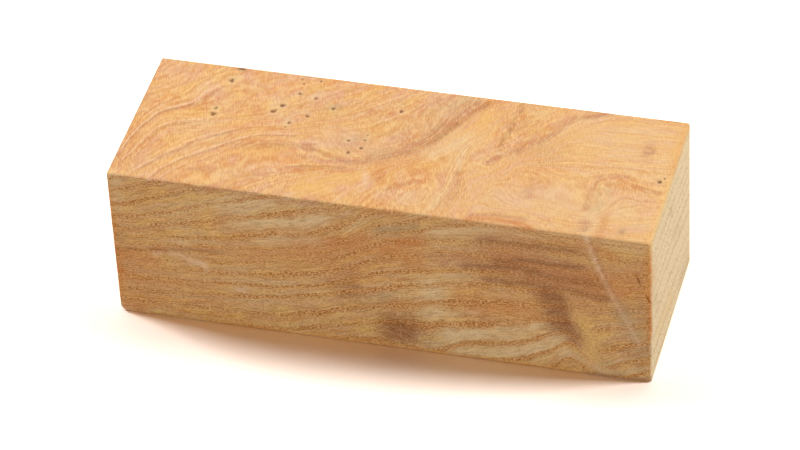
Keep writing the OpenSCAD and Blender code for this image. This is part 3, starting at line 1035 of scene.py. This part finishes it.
def burl_material(look):
    """Burl wood. A cloudy ground with streaks along the rings is washed with pink and yellow ribbons, then
    with the pale wood of the sawn ends, then with the stains kept in the mesh, broken up along the rings,
    among them a painted highlight along two front edges and a painted band of sheen shade.
    Ring bands carry dark pores and pale flecks, in colours of their own on the ends. Ring seams on the
    upper face carry a cream line beside a brown one, and fine growth lines follow the rings everywhere.
    Open eyes go dark inside a pale rim."""
    material, start = new_shader(bpy.data.materials, "burl_wood")
    place = start.node("ShaderNodeTexCoord", output="Object").scaled(1 / MM)
    ring, band, upper = start.kept("figure")
    # The orange brown, dark brown and yellow strengths also carry painted light: the edge highlight and a
    # band of sheen shade
    rust_and_edge_highlight, umber_and_sheen_shade, ash = start.kept("dark")
    cream, honey_and_edge_highlight, rose = start.kept("bright")
    scar, crack, calm = start.kept("lines")
    eye, end, seam = start.kept("marks")
    open_grain = 1 - calm

    # Noise over the block and along its rings
    clouds = place.noise(*CLOUDS)
    patches = place.noise(*PATCHES)
    cluster = place.noise(*PORE_CLUSTERS).step(*CLUSTER_RISE)
    bold = place.noise(*BAND_BOLDNESS).step(*BOLD_RISE).ranging(0.55, 1.0)
    breadth = place.noise(*BAND_BREADTH).swing() * BREADTH_REACH
    top_speckle = place.turned_level(FIBRE_TURN).stretched(*TOP_PORES).noise(*PORE_NOISE)
    side_speckle = place.stretched(*SIDE_PORES).noise(*PORE_NOISE)
    speckle = top_speckle * upper + side_speckle * (1 - upper)
    wander = place.noise(*WANDER).swing() * upper.ranging(1.0, 0.5) * WANDER_REACH
    wobble = place.noise(*WOBBLE).swing() * band * WOBBLE_REACH
    ring = ring + wander + wobble
    cycle = ring.math("FRACT", ring)
    growth = ring.line_noise(*GROWTH_LINES)
    streaks = place.along_rings(ring, *STREAKS)
    threads = place.along_rings(ring, *THREADS)
    ribbons = place.along_rings(ring, *RIBBONS)

    # Where the bands, pores and seams lie, and how the stains break up
    porous = cycle.step(*BAND_RISE) * (cycle + breadth).fall(*BAND_FALL)
    porous = porous * band * bold * streaks.ranging(0.65, 1.35) * open_grain
    side_pores = (porous * BAND_PORES + umber_and_sheen_shade * STAIN_PORES + PLAIN_PORES) * cream.ranging(1.0, 0.4)
    top_pores = cluster.ranging(0.6, 1.0) * open_grain.ranging(0.3, 1.0) * UPPER_PORES
    pores = side_pores * (1 - upper) + top_pores * upper
    seam_pale = cycle.step(*PALE_SEAM_RISE) * cycle.fall(*PALE_SEAM_FALL) * seam
    seam_brown = cycle.step(*BROWN_SEAM_RISE) * cycle.fall(*BROWN_SEAM_FALL) * seam
    breaks = patches.swing() * PATCH_BREAK + streaks.swing() * STREAK_BREAK
    break_up = 1 + breaks * open_grain.ranging(0.6, 1.0)

    # The ground, the ends and the stains, among them a painted edge highlight and a painted band of sheen
    # shade
    tone = clouds * CLOUD_SHARE + streaks * (1 - CLOUD_SHARE)
    tone = tone.swing() * open_grain.ranging(0.3, 1.0)
    tone = tone * upper.ranging(1.0, 0.65) + 0.5
    wood = tone.three_tones(look.side_deep, look.side_ground, look.side_light)
    wood = wood.washed(tone.three_tones(look.top_deep, look.top_ground, look.top_light), upper)
    wood = wood.washed(opaque(look.blush), ribbons.fall(*BLUSH_FALL) * upper.ranging(0.2, 0.6))
    wood = wood.washed(opaque(look.honey_and_edge_highlight), ribbons.step(*HONEY_RISE) * HONEY_RIBBON_WASH)
    wood = wood.washed(opaque(look.end_grain), end * END_WASH)
    stains = (
        (look.honey_and_edge_highlight, honey_and_edge_highlight), (look.cream, cream), (look.rose, rose), (look.ash, ash), (look.rust_and_edge_highlight, rust_and_edge_highlight),
        (look.umber_and_sheen_shade, umber_and_sheen_shade),
    )
    for colour, strength in stains:
        wood = wood.washed(opaque(colour), strength * break_up)

    # Bands, seams, lines and pores
    wood = wood.washed(end.between(opaque(look.band), opaque(look.end_band)), porous * BAND_WASH)
    wood = wood.washed(opaque(look.rose), seam_brown * BROWN_SEAM_WASH)
    wood = wood.washed(opaque(look.scar), seam_pale * PALE_SEAM_WASH)
    grain = end.between(upper.between(opaque(look.pore), opaque(look.stroke)), opaque(look.end_pore))
    line_share = end.ranging(1.0, 0.55) * calm.ranging(1.0, 0.4)
    wood = wood.washed(grain, threads.fall(*THREAD_FALL) * line_share * THREAD_WASH)
    pale_threads = threads.step(*PALE_THREAD_RISE) * line_share * upper.ranging(0.25, 0.4)
    wood = wood.washed(opaque(look.fleck), pale_threads)
    dark_growth = growth.fall(*GROWTH_FALL) * patches * line_share * upper.ranging(0.5, 0.6)
    wood = wood.washed(grain, dark_growth)
    pale_growth = growth.step(*PALE_GROWTH_RISE) * patches * upper * open_grain
    wood = wood.washed(opaque(look.cream), pale_growth * PALE_GROWTH_WASH)
    wood = wood.washed(grain, pores * speckle.step(*PORE_RISE) * PORE_WASH)
    flecks = pores * speckle.fall(*FLECK_FALL) * upper.ranging(0.45, 0.7) * umber_and_sheen_shade.ranging(1.0, 0.4)
    wood = wood.washed(opaque(look.fleck), flecks)
    wood = wood.scaled(1 + growth.swing() * patches * GROWTH_SHADE)

    # Scars, cracks and eyes
    wood = wood.washed(opaque(look.scar), scar)
    wood = wood.washed(opaque(look.umber_and_sheen_shade), crack)
    rim = eye + place.noise(*EYE_EDGE).swing() * EYE_EDGE_REACH
    pale_rim = rim.step(*EYE_RIM_RISE) * rim.fall(*EYE_RIM_FALL)
    wood = wood.washed(opaque(look.cream), pale_rim * EYE_RIM_WASH)
    wood = wood.washed(opaque(look.eye), rim.fall(*EYE_FALL) * EYE_WASH)

    relief = growth * GROWTH_RELIEF + threads * THREAD_RELIEF - pores * speckle
    sockets = {"Height": relief, "Strength": RELIEF_STRENGTH, "Distance": RELIEF_HEIGHT}
    bump = start.node("ShaderNodeBump", sockets=sockets)
    roughness = ROUGHNESS + patches.swing() * ROUGHNESS_SWING + end * END_ROUGHNESS
    sockets = {"Base Color": wood, "Roughness": roughness, "Normal": bump, "Specular IOR Level": SPECULAR}
    start.node("ShaderNodeBsdfPrincipled", sockets=sockets).shown("ShaderNodeOutputMaterial")
    return material


class BURL_OT_block(bpy.types.Operator):
    """Builds the burl wood block in place of its CAD node"""

    bl_idname = "burl.block"
    bl_label = "Burl Wood Block"

    def execute(self, context):
        look = context.scene.burl_block
        low, high = (np.array(corner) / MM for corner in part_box(BLOCK_NODE))
        size = high - low
        ease = look.edge_ease / MM
        lines = block_lattice(low, high, ease)
        picked, quads = lattice_skin([len(line) for line in lines])
        sharp = np.column_stack([line[at] for line, at in zip(lines, picked)])
        points, outward = eased_box(sharp, low, high, ease)
        openings = {"large": look.eye_large, "middling": look.eye_middling, "small": look.eye_small}
        eyes = [(low[0] + along, high[1] - back, openings[kind] / MM) for along, back, kind in EYES]
        checks = [(high[0] - along, high[2] - down) for along, down in CHECKS]
        check_sizes = (look.check_length / MM, look.check_opening / MM, look.check_depth / MM)
        formed = cut_corner(points, low, look.corner_loss / MM)
        formed = press_eyes(formed, high[2], eyes, look.eye_depth / MM)
        formed = open_checks(formed, low[1], checks, *check_sizes, look.check_lean)
        piece = new_piece("burl_block", formed * MM, quads)

        share = outward**2
        ring = ring_numbers(lines, picked, low, high, share)
        add_values(piece, "figure", ring, share @ [END_BAND, SIDE_BAND, TOP_BAND], share[:, 2])
        wandered = drift(points, STROKE_DRIFT, STROKE_WAVE)
        for name, stains in (("dark", (RUST_AND_EDGE_HIGHLIGHT, UMBER_AND_SHEEN_SHADE, ASH)), ("bright", (CREAM, HONEY_AND_EDGE_HIGHLIGHT, ROSE))):
            add_values(piece, name, *(stain_strength(wandered, strokes, size) for strokes in stains))
        upper = sharp[:, 2] > high[2] - ease
        eye = np.where(upper, eye_share(points, eyes, EYE_LIMIT), EYE_LIMIT)
        add_values(piece, "marks", eye, share[:, 0], stain_strength(points, SEAMS, size))
        marks = (SCARS, CRACKS, CALM)
        add_values(piece, "lines", *(stain_strength(points, strokes, size) for strokes in marks))

        piece.data.materials.append(burl_material(look))
        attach(piece, "root")
        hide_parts(BLOCK_NODE)
        return {"FINISHED"}


def seen_directly(start):
    """1 for rays that look at a thing straight on, in a mirror or through glass, and 0 for rays that
    light others."""
    direct = start.node("ShaderNodeLightPath", output="Is Camera Ray")
    glossy = start.node("ShaderNodeLightPath", output="Is Glossy Ray")
    through = start.node("ShaderNodeLightPath", output="Is Transmission Ray")
    return start.math("MAXIMUM", start.math("MAXIMUM", direct, glossy), through)


def floor_material(stage):
    """A plain pale floor that the picture shows brighter than it lights the block."""
    material, start = new_shader(bpy.data.materials, "floor")
    shown = opaque([stage.floor_shown * part for part in stage.floor_warmth])
    lit = start.node("ShaderNodeBsdfDiffuse", sockets={"Color": opaque(stage.floor_colour)})
    seen = start.node("ShaderNodeBsdfDiffuse", sockets={"Color": shown})
    surface = start.node("ShaderNodeMixShader", sockets={0: seen_directly(start), 1: lit, 2: seen})
    surface.shown("ShaderNodeOutputMaterial")
    return material


def room_world(stage):
    """A white backdrop in the picture, and a dim even light for everything else."""
    world, start = new_shader(bpy.data.worlds, "room")
    white = (1, 1, 1, 1)
    dim = start.node("ShaderNodeBackground", sockets={"Color": white, "Strength": stage.room})
    backdrop = start.node("ShaderNodeBackground", sockets={"Color": white, "Strength": 1.0})
    surface = start.node("ShaderNodeMixShader", sockets={0: seen_directly(start), 1: dim, 2: backdrop})
    surface.shown("ShaderNodeOutputWorld")
    return world


def softbox(name, place, width, depth, power, target):
    """An area light that faces a target."""
    light = bpy.data.lights.new(name, "AREA")
    light.shape = "RECTANGLE"
    light.size = width
    light.size_y = depth
    light.energy = power
    lamp = bpy.data.objects.new(name, light)
    lamp.location = place
    lamp.rotation_euler = (Vector(target) - Vector(place)).to_track_quat("-Z", "Y").to_euler()
    bpy.context.scene.collection.objects.link(lamp)
    return lamp


class BURL_OT_stage(bpy.types.Operator):
    """Sets up the floor, the lights, the camera and the room"""

    bl_idname = "burl.stage"
    bl_label = "Stage"

    def execute(self, context):
        stage = context.scene.burl_stage
        half = stage.floor_half
        drop = -stage.floor_drop
        corners = [(-half, -half, drop), (half, -half, drop), (half, half, drop), (-half, half, drop)]
        floor = new_piece("floor", corners, [(0, 1, 2, 3)])
        floor.data.materials.append(floor_material(stage))
        aim = Vector(stage.aim)
        lamps = [
            softbox("key", *KEY_BOX, stage.key_power, aim),
            softbox("right", *RIGHT_BOX, stage.right_power, aim),
            softbox("left", *LEFT_BOX, stage.left_power, aim),
            softbox("front", *FRONT_BOX, stage.front_power, aim),
        ]
        context.scene.world = room_world(stage)
        context.scene.view_settings.view_transform = "Standard"

        lens = bpy.data.cameras.new("camera")
        lens.lens = stage.lens
        lens.sensor_width = stage.sensor
        lens.clip_end = FAR_CLIP * stage.floor_half
        camera = bpy.data.objects.new("camera", lens)
        level = math.cos(stage.elevation)
        right = math.sin(stage.azimuth) * level
        forward = math.cos(stage.azimuth) * level
        back = Vector((right, -forward, math.sin(stage.elevation)))
        camera.location = aim + back * stage.distance
        camera.rotation_mode = "QUATERNION"
        lean = Quaternion((0, 0, 1), -stage.roll)
        camera.rotation_quaternion = (-back).to_track_quat("-Z", "Y") @ lean
        context.scene.collection.objects.link(camera)
        context.scene.camera = camera
        return {"FINISHED"}


class BURL_PT_panel(bpy.types.Panel):
    """Buttons for the block and its stage"""

    bl_idname = "BURL_PT_panel"
    bl_label = "Burl Wood Block"
    bl_space_type = "VIEW_3D"
    bl_region_type = "UI"
    bl_category = "Burl"

    def draw(self, context):
        self.layout.operator(BURL_OT_block.bl_idname)
        self.layout.operator(BURL_OT_stage.bl_idname)


CLASSES = (BurlBlockSettings, BurlStageSettings, BURL_OT_block, BURL_OT_stage, BURL_PT_panel)


def register():
    """Adds the classes and the settings."""
    for made in CLASSES:
        bpy.utils.register_class(made)
    bpy.types.Scene.burl_block = PointerProperty(type=BurlBlockSettings)
    bpy.types.Scene.burl_stage = PointerProperty(type=BurlStageSettings)


def unregister():
    """Takes the settings and the classes away again."""
    del bpy.types.Scene.burl_stage
    del bpy.types.Scene.burl_block
    for made in reversed(CLASSES):
        bpy.utils.unregister_class(made)


def main():
    """Builds the block and its stage."""
    register()
    bpy.ops.burl.block()
    bpy.ops.burl.stage()


if __name__ == "__main__":
    main()
